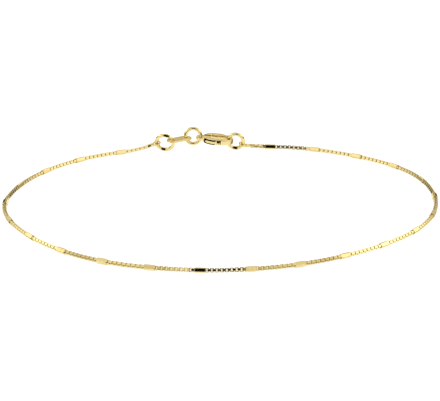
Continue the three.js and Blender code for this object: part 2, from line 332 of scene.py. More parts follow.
def sized_block(size: Sequence[float]) -> BMesh:
    """A block round the origin, of three given sizes.

    Args:
        size: Its sizes along x, y and z.

    Returns:
        The block, as a bmesh.
    """
    bm = bmesh.new()
    bmesh.ops.create_cube(bm, size=1)
    bmesh.ops.scale(bm, vec=size, verts=bm.verts)
    return bm


def runs_along(edge: bmesh.types.BMEdge, axis: int) -> bool:
    """Whether an edge lies along an axis, 0 to 2."""
    along = (edge.verts[1].co - edge.verts[0].co).normalized()
    return abs(along[axis]) > ALONG


def soften(bm: BMesh, edges: Sequence[bmesh.types.BMEdge], radius: float, segments: int) -> None:
    """Rounds edges off by a radius in millimetres, with some faces across each rounding."""
    round_section = {"profile": 0.5, "affect": "EDGES", "material": -1}
    bmesh.ops.bevel(bm, geom=edges, offset=radius, segments=segments, **round_section)


def hollow_out(bm: BMesh, axis: int, wall: float, lip: float) -> None:
    """Turns a block into an open tube along an axis, with a wall and softened rims.

    Args:
        bm: The block, which is changed.
        axis: The axis that the tube runs along, 0 to 2.
        wall: The thickness of its wall.
        lip: How much its rims are softened.
    """
    ends = [f for f in bm.faces if abs(f.normal[axis]) > ALONG]
    rims = [e for f in ends for e in f.edges]
    bmesh.ops.inset_individual(bm, faces=ends, thickness=wall, use_even_offset=True)
    mouths = [e for f in ends for e in f.edges]
    bmesh.ops.delete(bm, geom=ends, context="FACES_ONLY")
    bmesh.ops.bridge_loops(bm, edges=mouths)
    soften(bm, [e for e in rims if e.is_valid], lip, 1)


def wire_ring(name: str, radius: float, wire_radius: float, sides: int, steps: int) -> Mesh:
    """A ring of round wire about z, with sides round the wire and steps along the ring.

    Args:
        name: The mesh's name.
        radius: The radius of the wire's middle line.
        wire_radius: The wire's own radius.
        sides: The number of faces round the wire.
        steps: The number of faces along the ring.

    Returns:
        The ring's mesh.
    """
    bm = bmesh.new()
    profile = bmesh.ops.create_circle(bm, segments=sides, radius=wire_radius)
    place = Matrix.Translation((radius, 0, 0)) @ Matrix.Rotation(math.pi / 2, 4, "X")
    bmesh.ops.transform(bm, matrix=place, verts=profile["verts"])
    bmesh.ops.spin(
        bm,
        geom=bm.verts[:] + bm.edges[:],
        axis=(0, 0, 1),
        cent=(0, 0, 0),
        angle=2 * math.pi,
        steps=steps,
        use_merge=True,
    )
    return mesh_of(bm, name)


def joined(parts: Iterable[tuple[Mesh, Matrix]], name: str) -> Mesh:
    """Joins copies of meshes, each at its own place, into one mesh.

    Args:
        parts: Pairs of a mesh and the matrix that places it.
        name: The new mesh's name.

    Returns:
        The joined mesh.
    """
    bm = bmesh.new()
    for mesh, matrix in parts:
        copy = mesh.copy()
        copy.transform(matrix)
        bm.from_mesh(copy)
        bpy.data.meshes.remove(copy)
    whole = bpy.data.meshes.new(name)
    bm.to_mesh(whole)
    bm.free()
    return whole


def evaluated(holder: bpy.types.Object, name: str) -> Mesh:
    """Applies an object's modifiers, removes the object and returns the mesh it made.

    Args:
        holder: The object.
        name: The new mesh's name.

    Returns:
        The new mesh.
    """
    bpy.context.view_layer.update()
    shown = holder.evaluated_get(bpy.context.evaluated_depsgraph_get())
    mesh = bpy.data.meshes.new_from_object(shown)
    mesh.name = name
    bpy.data.objects.remove(holder)
    return mesh


def held(data: bpy.types.ID, name: str) -> bpy.types.Object:
    """Puts a mesh, a curve or a camera in an object of the scene.

    Args:
        data: The mesh, curve or camera.
        name: The object's name.

    Returns:
        The object.
    """
    holder = bpy.data.objects.new(name, data)
    bpy.context.scene.collection.objects.link(holder)
    return holder


def with_true_flats(mesh: Mesh, name: str) -> Mesh:
    """Leaves the flat faces of a mesh in millimetres flat, with all shading in its roundings.

    Args:
        mesh: The mesh.
        name: The new mesh's name.

    Returns:
        The new mesh.
    """
    holder = held(mesh, name)
    flats = holder.modifiers.new("true_flats", "WEIGHTED_NORMAL")
    flats.mode = "FACE_AREA"
    flats.weight = FLATS_WEIGHT
    flats.keep_sharp = True
    return evaluated(holder, name)


class Cut(Enum):
    """What a boolean does with its tool."""

    AWAY = "DIFFERENCE"
    TOGETHER = "UNION"
    COMMON = "INTERSECT"


def worked(base: Mesh, steps: Sequence[tuple[Cut, Mesh]]) -> Mesh:
    """Cuts tools away from a mesh, or joins them to it, in order.

    Args:
        base: The mesh to start from.
        steps: Pairs of what to do and the tool's mesh.

    Returns:
        The finished mesh.
    """
    holder = held(base, base.name)
    tools = []
    for cut, mesh in steps:
        tool = held(mesh, mesh.name)
        boolean = holder.modifiers.new(mesh.name, "BOOLEAN")
        boolean.operation = cut.value
        boolean.solver = "EXACT"
        boolean.object = tool
        tools.append(tool)
    result = evaluated(holder, base.name)
    for tool in tools:
        bpy.data.objects.remove(tool)
    return result


def arc(centre: Point, radius: float, start: float, end: float, steps: int = 24) -> list[Point]:
    """Points along a round stretch of an outline.

    Args:
        centre: The arc's centre.
        radius: Its radius.
        start: Its first angle, in degrees.
        end: Its last angle, in degrees.
        steps: The number of straight pieces in it.

    Returns:
        The points, both ends included.
    """
    angles = [math.radians(start + (end - start) * step / steps) for step in range(steps + 1)]
    return [(centre[0] + radius * math.cos(a), centre[1] + radius * math.sin(a)) for a in angles]


def circle(centre: Point, radius: float, sides: int = 48) -> list[Point]:
    """The outline of a round hole."""
    return arc(centre, radius, 0, 360 - 360 / sides, sides - 1)


def bowed(knots: Sequence[Point], steps: int = 10) -> list[Point]:
    """Points along the Bezier curve of its knots, both ends left out.

    Args:
        knots: The start, any control points and the end. Two knots give a straight line.
        steps: The number of straight pieces in it.

    Returns:
        The points between the ends.
    """
    points = []
    for step in range(1, steps):
        row = [Vector(knot) for knot in knots]
        while len(row) > 1:
            row = [near.lerp(far, step / steps) for near, far in zip(row, row[1:])]
        points.append(tuple(row[0]))
    return points


def mirrored(points: Sequence[Point]) -> list[Point]:
    """The other side of an outline that is alike on both sides of x, in its own order."""
    return [(x, -y) for x, y in reversed(points)]


def flat_plate(
    name: str,
    loops: Sequence[Sequence[Point]],
    thickness: float,
    rounding: float,
    roundness: int = 3,
) -> Mesh:
    """A flat plate centred on z = 0, with its rims rounded inside its outline.

    Args:
        name: The mesh's name.
        loops: Closed outlines, the outer one first and then its holes.
        thickness: The plate's thickness.
        rounding: The radius of its rims.
        roundness: The number of extra steps in each rounded rim.

    Returns:
        The plate's mesh.
    """
    curve = bpy.data.curves.new(name, "CURVE")
    curve.dimensions = "2D"
    curve.fill_mode = "BOTH"
    curve.extrude = thickness / 2 - rounding
    curve.bevel_depth = rounding
    curve.bevel_resolution = roundness
    curve.offset = -rounding
    for loop in loops:
        spline = curve.splines.new("POLY")
        spline.points.add(len(loop) - 1)
        for point, (x, y) in zip(spline.points, loop):
            point.co = (x, y, 0, 1)
        spline.use_cyclic_u = True
    mesh = evaluated(held(curve, name), name)
    bm = bmesh.new()
    bm.from_mesh(mesh)
    bmesh.ops.remove_doubles(bm, verts=bm.verts, dist=PLATE_WELD)
    bpy.data.meshes.remove(mesh)
    return mesh_of(bm, name)


def standing_plate(name: str, outline: Sequence[Point], low: float, high: float) -> Mesh:
    """A plate of an outline in x and z, standing on edge between two places in y.

    Args:
        name: The mesh's name.
        outline: Its outline, in x and z.
        low: Its lower side in y.
        high: Its upper side in y.

    Returns:
        The plate's mesh.
    """
    mesh = flat_plate(name, [outline], high - low, 0)
    middle = Matrix.Translation((0, (low + high) / 2, 0))
    mesh.transform(middle @ Matrix.Rotation(math.pi / 2, 4, "X"))
    return mesh


def block(name: str, low: Sequence[float], high: Sequence[float]) -> Mesh:
    """A plain block between two corners, used as a cutting tool.

    Args:
        name: The mesh's name.
        low: Its lowest corner.
        high: Its highest corner.

    Returns:
        The block's mesh.
    """
    bm = sized_block(Vector(high) - Vector(low))
    bmesh.ops.translate(bm, vec=(Vector(high) + Vector(low)) / 2, verts=bm.verts)
    return mesh_of(bm, name)


def round_pin(
    name: str, centre: Point, radius: float, length: float, rounding: float = 0.0
) -> Mesh:
    """A round pin along z, centred on z = 0, with rounded rims where it has a rounding.

    Args:
        name: The mesh's name.
        centre: Its axis in x and y.
        radius: Its radius.
        length: Its length.
        rounding: The radius of its rims.

    Returns:
        The pin's mesh.
    """
    bm = bmesh.new()
    radii = {"radius1": radius, "radius2": radius}
    bmesh.ops.create_cone(bm, cap_ends=True, segments=PIN_SIDES, depth=length, **radii)
    if rounding > 0:
        soften(bm, [e for e in bm.edges if not runs_along(e, Z_AXIS)], rounding, PIN_RIM_FACES)
    bmesh.ops.translate(bm, vec=(centre[0], centre[1], 0), verts=bm.verts)
    return mesh_of(bm, name)


def with_painted_shade(mesh: Mesh, share: Callable[[Vector, Vector], float]) -> Mesh:
    """Marks the faces of a mesh where dark shade is painted.

    Args:
        mesh: The mesh, in millimetres.
        share: Gives the share of painted shade, 0 to 1, from a face's middle and its normal.

    Returns:
        The mesh.
    """
    marks = mesh.attributes.new(PAINTED_SHADE, "FLOAT", "FACE")
    for face in mesh.polygons:
        marks.data[face.index].value = float(share(face.center, face.normal))
    return mesh


def axes_matrix(x_axis: Vector, y_axis: Vector, z_axis: Vector, origin: Vector) -> Matrix:
    """A matrix that takes local x, y and z to three directions at a place.

    Args:
        x_axis: The direction that local x takes.
        y_axis: The direction that local y takes.
        z_axis: The direction that local z takes.
        origin: The place that the local origin takes.

    Returns:
        The matrix.
    """
    matrix = Matrix((x_axis, y_axis, z_axis)).transposed().to_4x4()
    matrix.translation = origin
    return matrix


def show(
    mesh: Mesh,
    name: str,
    finish: YellowGold,
    slot: Slot,
    body: str = FRAME_BODY,
    replaced: Sequence[str] = (),
) -> None:
    """Makes a finished piece of a mesh: shaded, turned to metres and on its body.

    Args:
        mesh: The mesh, in place, in millimetres.
        name: The piece's name.
        finish: Its finish.
        slot: The piece's group; clasp pieces keep their plain smooth shading.
        body: The body that it rides on.
        replaced: The solids that it stands for.
    """
    mesh.shade_smooth()
    mesh.set_sharp_from_angle(angle=SMOOTH_ANGLE)
    if slot is not Slot.CLASP:
        mesh = with_true_flats(mesh, name)
    mesh.transform(Matrix.Scale(MM, 4))
    piece = held(mesh, name)
    piece.data.materials.clear()
    piece.data.materials.append(materials(finish))
    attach(piece, body)
    if replaced:
        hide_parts(*replaced)


_made: dict[YellowGold, bpy.types.Material] = {}


def materials(finish: YellowGold) -> bpy.types.Material:
    """The material of a finish, made once.

    Args:
        finish: The finish.

    Returns:
        Its material.
    """
    if finish not in _made:
        _made[finish] = finish.material()
    return _made[finish]


# ---- rings --------------------------------------------------------------------------


@dataclass
class JumpRing:
    """A round jump ring of drawn wire, soldered shut.

    Its centre is the middle of its solid's box. A tilt of 90 degrees stands upright, and more
    leans to the front. The flats are small worn spots on its front, given by their angles
    round the ring.
    """

    node: str
    radius: float
    tilt: float
    yaw: float
    flats: tuple[float, ...] = ()
    wire_radius: float = 0.31
    flat_depth: float = 0.075
    flat_reach: float = 0.55
    flat_slope: float = math.radians(22)
    sides: int = 20
    steps: int = 72
    centre: Vector = field(init=False)
    level: Vector = field(init=False)
    steep: Vector = field(init=False)
    axis: Vector = field(init=False)

    def __post_init__(self) -> None:
        """Works out the ring's frame from its solid."""
        low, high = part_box(self.node)
        self.centre = (low + high) / 2 / MM
        turn = Matrix.Rotation(math.radians(self.yaw), 3, UP)
        lean = math.radians(self.tilt)
        self.level = turn @ Vector((1, 0, 0))
        self.steep = turn @ Vector((0, math.cos(lean), math.sin(lean)))
        self.axis = self.level.cross(self.steep)

    def wire_at(self, degrees: float) -> tuple[Vector, Vector]:
        """The middle of the wire at an angle round the ring.

        Args:
            degrees: The angle from the ring's right side, over its top.

        Returns:
            The point and the wire's direction there.
        """
        angle = math.radians(degrees)
        outward = self.level * math.cos(angle) + self.steep * math.sin(angle)
        along = self.steep * math.cos(angle) - self.level * math.sin(angle)
        return self.centre + outward * self.radius, along

    def build(self) -> Mesh:
        """Builds the ring in place, with its worn flats.

        Returns:
            The ring's mesh.
        """
        mesh = wire_ring(self.node, self.radius, self.wire_radius, self.sides, self.steps)
        mesh.transform(axes_matrix(self.level, self.steep, self.axis, self.centre))
        for degrees in self.flats:
            self.press_flat(mesh, degrees)
        return mesh

    def press_flat(self, mesh: Mesh, degrees: float) -> None:
        """Presses a worn flat into the front of the wire, at an angle round the ring.

        Args:
            mesh: The ring's mesh, which is changed.
            degrees: The angle.
        """
        facing = Vector((0, -math.cos(self.flat_slope), math.sin(self.flat_slope)))
        middle, _ = self.wire_at(degrees)
        for vertex in mesh.vertices:
            offset = vertex.co - middle
            proud = offset.dot(facing) - self.wire_radius + self.flat_depth
            if proud > 0 and offset.length < self.flat_reach:
                vertex.co -= facing * proud

    def dress(self, finish: YellowGold) -> None:
        """Makes the ring and puts its finish on it.

        Args:
            finish: The finish.
        """
        show(self.build(), "jump_" + self.node, finish, Slot.RING, replaced=[self.node])
        width = 2 * (self.radius + self.wire_radius)
        log.info("jump ring for %s, %.2f mm wide", self.node, width)


@dataclass
class Rings:
    """The three jump rings, and where their neighbours cross them, in degrees."""

    left: JumpRing = field(default_factory=lambda: JumpRing("ring_left", 1.41, 106, -9, (77, 257)))
    middle: JumpRing = field(default_factory=lambda: JumpRing("ring_middle", 1.26, 80, 0))
    right: JumpRing = field(default_factory=lambda: JumpRing("ring_right", 1.29, 98, -6, (265,)))
    chain_on_left: float = 191
    tag_on_left: float = 19
    tag_on_middle: float = 196
    clasp_on_middle: float = -12
    clasp_on_right: float = 177
    chain_on_right: float = -26

    def dress(self, finish: YellowGold) -> None:
        """Makes the three rings."""
        for ring in (self.left, self.middle, self.right):
            ring.dress(finish)


# ---- chain --------------------------------------------------------------------------


@dataclass
class Bar:
    """A hollow square tube bar, crimped on the chain."""

    length: float = 1.6
    width: float = 0.8
    rounding: float = 0.2
    wall: float = 0.12
    lip: float = 0.03
    corner_faces: int = 4

    def half_height(self, roll: float) -> float:
        """How high the bar's middle lies over the table at a roll, in radians."""
        flat = self.width / 2 - self.rounding
        return flat * (abs(math.cos(roll)) + abs(math.sin(roll))) + self.rounding

    def build(self) -> Mesh:
        """Builds the tube along x, open at both ends.

        Returns:
            The bar's mesh.
        """
        bm = sized_block((self.length, self.width, self.width))
        soften(bm, [e for e in bm.edges if runs_along(e, X_AXIS)], self.rounding, self.corner_faces)
        hollow_out(bm, X_AXIS, self.wall, self.lip)
        return mesh_of(bm, "square_bar")


@dataclass
class BoxLink:
    """One link of a box chain: a band bent to a square with round corners."""

    length: float = 0.67
    band: float = 0.36
    wall: float = 0.11
    corner: float = 0.12
    lip: float = 0.035
    corner_faces: int = 2
    # The share of shade painted on the inner walls of each link's window.
    window_painted_shade: float = 0.5
    inward: float = -0.05

    def build(self) -> Mesh:
        """Builds the link round z, its length along x.

        Returns:
            The link's mesh.
        """
        bm = sized_block((self.length, self.length, self.band))
        soften(bm, [e for e in bm.edges if runs_along(e, Z_AXIS)], self.corner, self.corner_faces)
        hollow_out(bm, Z_AXIS, self.wall, self.lip)
        # The window's inner walls get painted shade.
        return with_painted_shade(mesh_of(bm, "box_link"), self.in_window)

    def in_window(self, middle: Vector, normal: Vector) -> float:
        """How much shade is painted on a face: on the window's inner walls, none outside."""
        facing_out = middle.x * normal.x + middle.y * normal.y
        return self.window_painted_shade if facing_out < self.inward else 0.0


# An end loop: its centre, the direction to the chain, and its axis.
Loop = tuple[Vector, Vector, Vector]


@dataclass
class Route:
    """The chain's middle line, as the solids have it.

    It is an oval, a little fuller on the clasp's side. Its two ends leave the oval sideways
    and rise to the loops on the rings. Distances are measured from the right end.

    The chain is rolled about its own line. It leans by least_roll at the level bar, and
    swings further and back between the bars. Towards the back it turns over by back_turn,
    which it reaches back_at away from the level bar. It is kinked just left of that bar, and
    turns once more at its right end. A bar that lies on an edge carries the line higher.
    """

    rings: Rings
    bar: Bar
    bar_pitch: float = 7.5
    first_bar: float = 4.14
    level_bar: int = 12
    half_length: float = 33.8
    half_depth: float = 26.6
    fullness: float = 0.03
    turn: float = math.radians(5)
    waves: tuple[tuple[int, float], ...] = ((4, 0.3), (6, 0.2))
    centre: Vector = field(default_factory=lambda: Vector((0.07, 0.1, 0.4)))
    chain_start: float = 6.2
    chain_finish: float = 180.9
    lift: float = 5
    sway: float = 14
    loop_radius: float = 0.56
    least_roll: float = math.radians(22)
    roll_swing: float = math.radians(22)
    roll_period: float = 30
    back_turn: float = math.radians(46)
    back_at: float = 85
    left_kink: float = math.radians(9)
    right_turn: float = math.radians(-60)
    right_reach: float = 4.1
    samples: int = 6000
    slope_step: float = 0.05

    def __post_init__(self) -> None:
        """Samples the oval and the chain's lay, with their lengths."""
        angle = math.pi / 2 - 2 * math.pi * np.linspace(0, 1, self.samples)
        x = self.half_length * np.cos(angle) * (1 + self.fullness * np.sin(angle))
        y = self.half_depth * np.sin(angle)
        cosine, sine = math.cos(self.turn), math.sin(self.turn)
        flat = np.stack([x * cosine - y * sine, x * sine + y * cosine, 0 * x], axis=1)
        for count, height in self.waves:
            flat[:, 1] += height * np.sin(count * angle)
        self.oval = flat + np.array(self.centre)
        self.oval_lengths = self._lengths(self.oval)
        self.right_loop = self._loop(
            self.rings.right.wire_at(self.rings.chain_on_right), self.chain_start + self.lift
        )
        self.left_loop = self._loop(
            self.rings.left.wire_at(self.rings.chain_on_left), self.chain_finish - self.lift
        )
        distances = np.linspace(self.chain_start, self.chain_finish, self.samples)
        lay = self._at(self.oval, self.oval_lengths, distances)
        ends = ((self.right_loop, self.chain_start), (self.left_loop, self.chain_finish))
        for (centre, outward, _), at in ends:
            join = centre + outward * self.loop_radius
            shift = np.array(join) - self._at(self.oval, self.oval_lengths, at)
            away = np.abs(distances - at)
            lay[:, :2] += np.outer(np.clip(1 - away / self.sway, 0, 1) ** 2, shift[:2])
            lay[:, 2] += np.clip(1 - away / self.lift, 0, 1) ** 2 * shift[2]
        self.lay = lay
        self.lay_lengths = self._lengths(lay)
        self.length = float(self.lay_lengths[-1])

    @staticmethod
    def _lengths(points: np.ndarray) -> np.ndarray:
        """Distances along a sampled line."""
        steps = np.linalg.norm(np.diff(points, axis=0), axis=1)
        return np.concatenate([[0.0], np.cumsum(steps)])

    @staticmethod
    def _at(points: np.ndarray, lengths: np.ndarray, distance: float | np.ndarray) -> np.ndarray:
        """Points of a sampled line at distances along it."""
        return np.stack([np.interp(distance, lengths, points[:, k]) for k in range(3)], axis=-1)

    def _loop(self, crossing: tuple[Vector, Vector], towards: float) -> Loop:
        """Places an end loop where it crosses its ring, turned to a place on the oval.

        Args:
            crossing: The middle of the ring's wire there, and the wire's direction.
            towards: The distance along the oval that it is turned to.

        Returns:
            The end loop.
        """
        point, along = crossing
        chain = Vector(self._at(self.oval, self.oval_lengths, towards))
        outward = chain - point
        outward = (outward - along * outward.dot(along)).normalized()
        return point, outward, along

    def bar_place(self, index: int) -> float:
        """The distance of a bar's middle, by its number from 0."""
        return self.first_bar + index * self.bar_pitch

    def roll(self, distance: float) -> float:
        """How far the chain is rolled about its own line at a distance, in radians.

        Args:
            distance: The distance from the right end.

        Returns:
            The roll, in radians.
        """
        level_at = self.bar_place(self.level_bar)
        away = abs(distance - level_at)
        share = math.sin(math.pi / 2 * min(1.0, away / self.back_at)) ** 2
        swing = self.roll_swing * math.sin(math.pi * away / self.roll_period) ** 2
        at_end = self.right_turn * max(0.0, 1 - distance / self.right_reach)
        past = distance - level_at - self.bar.length / 2
        kinked = self.left_kink * min(1.0, max(0.0, past / self.bar.length))
        return self.least_roll + self.back_turn * share + (swing + kinked) * (1 - share) + at_end

    def point(self, distance: float) -> Vector:
        """The chain's middle at a distance from its right end.

        Args:
            distance: The distance.

        Returns:
            The point.
        """
        point = Vector(self._at(self.lay, self.lay_lengths, distance))
        end_share = min(distance, self.length - distance) / self.lift
        carried = self.bar.half_height(self.roll(distance)) - self.bar.width / 2
        point.z += carried * min(1.0, max(0.0, end_share))
        return point

    def frame_at(self, distance: float, quarter_turns: int = 0) -> Matrix:
        """The chain's frame at a distance: x along it, y and z across it, rolled.

        Args:
            distance: The distance from the right end.
            quarter_turns: Quarter turns that are added to the roll.

        Returns:
            The matrix that places a piece of the chain there.
        """
        step = self.slope_step
        along = (self.point(distance + step) - self.point(distance - step)).normalized()
        sideways = UP.cross(along).normalized()
        above = along.cross(sideways)
        # The chain runs clockwise, so that a positive roll turns its outer side up.
        angle = self.roll(distance) + quarter_turns * math.pi / 2
        turn = Matrix.Rotation(angle, 3, along)
        return axes_matrix(along, turn @ sideways, turn @ above, self.point(distance))


@dataclass
class BoxChain:
    """The box chain with its bars, and the soldered loop at each end."""

    route: Route
    bar: Bar
    link: BoxLink = field(default_factory=BoxLink)
    bar_count: int = 23
    link_pitch: float = 0.3666
    loop_wire_radius: float = 0.15
    loop_sides: int = 12
    loop_steps: int = 40
    cap_length: float = 0.75
    cap_width: float = 0.56
    cap_rounding: float = 0.14
    cap_faces: int = 4
    cap_turn: float = math.radians(30)
    cap_shown: float = 0.7

    def links_between(self, start: float, end: float, first: int) -> tuple[list, int]:
        """Places the links of one run, evenly, with their ends inside what holds them.

        Args:
            start: The distance where the run starts.
            end: The distance where it ends.
            first: The quarter turn of its first link.

        Returns:
            The links' places, and the quarter turn that comes next.
        """
        count = max(1, round((end - start) / self.link_pitch))
        pitch = (end - start) / count
        places = [
            self.route.frame_at(start + pitch * (step + 0.5), (first + step) % 2)
            for step in range(count)
        ]
        return places, (first + count) % 2

    def loop_mesh(self, loop: Loop, name: str, end: float) -> Mesh:
        """The round loop on a ring, with the solder cap that holds the chain's last link.

        Args:
            loop: Where the loop lies.
            name: The mesh's name.
            end: The distance of the chain's end.

        Returns:
            The joined mesh.
        """
        centre, outward, along = loop
        radius = self.route.loop_radius
        ring = wire_ring(name, radius, self.loop_wire_radius, self.loop_sides, self.loop_steps)
        cap = sized_block((self.cap_length, self.cap_width, self.cap_width))
        soften(cap, cap.edges[:], self.cap_rounding, self.cap_faces)
        inwards = 1 if end == 0 else -1
        cap_frame = self.route.frame_at(end + inwards * self.cap_length / 2)
        cap_frame = cap_frame @ Matrix.Rotation(self.cap_turn, 4, "X")
        loop_frame = axes_matrix(outward, along.cross(outward), along, centre)
        return joined([(ring, loop_frame), (mesh_of(cap, name + "_cap"), cap_frame)], name)

    def dress(self, finish: YellowGold) -> None:
        """Makes every bar, run of links and end loop.

        Args:
            finish: The finish.
        """
        bar_mesh = self.bar.build()
        link_mesh = self.link.build()
        turn = 0
        start = self.cap_length * self.cap_shown
        hidden = self.bar.length / 2 - self.link.length / 2
        for index in range(self.bar_count + 1):
            number = f"{index + 1:02d}"
            last = index == self.bar_count
            middle = self.route.bar_place(index)
            end = self.route.length - self.cap_length * self.cap_shown if last else middle - hidden
            places, turn = self.links_between(start, end, turn)
            run = joined([(link_mesh, place) for place in places], "link_run_" + number)
            show(run, "link_run_" + number, finish, Slot.CHAIN)
            if last:
                break
            name, node = "square_bar_" + number, "chain_stretch_" + number
            bar = joined([(bar_mesh, self.route.frame_at(middle))], name)
            show(bar, name, finish, Slot.CHAIN, replaced=[node])
            start = middle + hidden
        ends = (
            ("right", self.route.right_loop, 0.0),
            ("left", self.route.left_loop, self.route.length),
        )
        for side, loop, end in ends:
            mesh = self.loop_mesh(loop, f"end_loop_{side}", end)
            show(mesh, f"end_loop_{side}", finish, Slot.CHAIN, replaced=[f"chain_end_{side}"])
        log.info("box chain, %.1f mm long, with %d bars", self.route.length, self.bar_count)


# ---- tag and clasp ------------------------------------------------------------------


def level_placement(start: Vector, end: Vector, share: float) -> Matrix:
    """Places a flat piece level, at a share of the way from one point to another.

    Args:
        start: The first point.
        end: The other point.
        share: The share of the way, 0 to 1.

    Returns:
        The matrix that takes the piece's x along the way and its z up.
    """
    along = (end - start).normalized()
    across = UP.cross(along).normalized()
    return axes_matrix(along, across, along.cross(across), start.lerp(end, share))


@dataclass
class Tag:
    """The flat blank tag between the left and the middle ring."""

    rings: Rings
    margin: float = 1.02
    width: float = 1.85
    thickness: float = 0.35
    hole_radius: float = 0.6
    rounding: float = 0.12

    def dress(self, finish: YellowGold) -> None:
        """Makes the tag and puts its finish on it.

        Args:
            finish: The finish.
        """
        start = self.rings.left.wire_at(self.rings.tag_on_left)[0]
        end = self.rings.middle.wire_at(self.rings.tag_on_middle)[0]
        hole = (end - start).length / 2
        end_centre = hole + self.margin - self.width / 2
        outline = arc((end_centre, 0), self.width / 2, -90, 90)
        outline += arc((-end_centre, 0), self.width / 2, 90, 270)
        holes = [circle((side * hole, 0), self.hole_radius) for side in (1, -1)]
        mesh = flat_plate("tag_plate", [outline, *holes], self.thickness, self.rounding)
        mesh.transform(level_placement(start, end, 0.5))
        show(mesh, "tag_plate", finish, Slot.RING, replaced=["tag"])
        log.info("tag, %.1f mm long", 2 * (hole + self.margin))


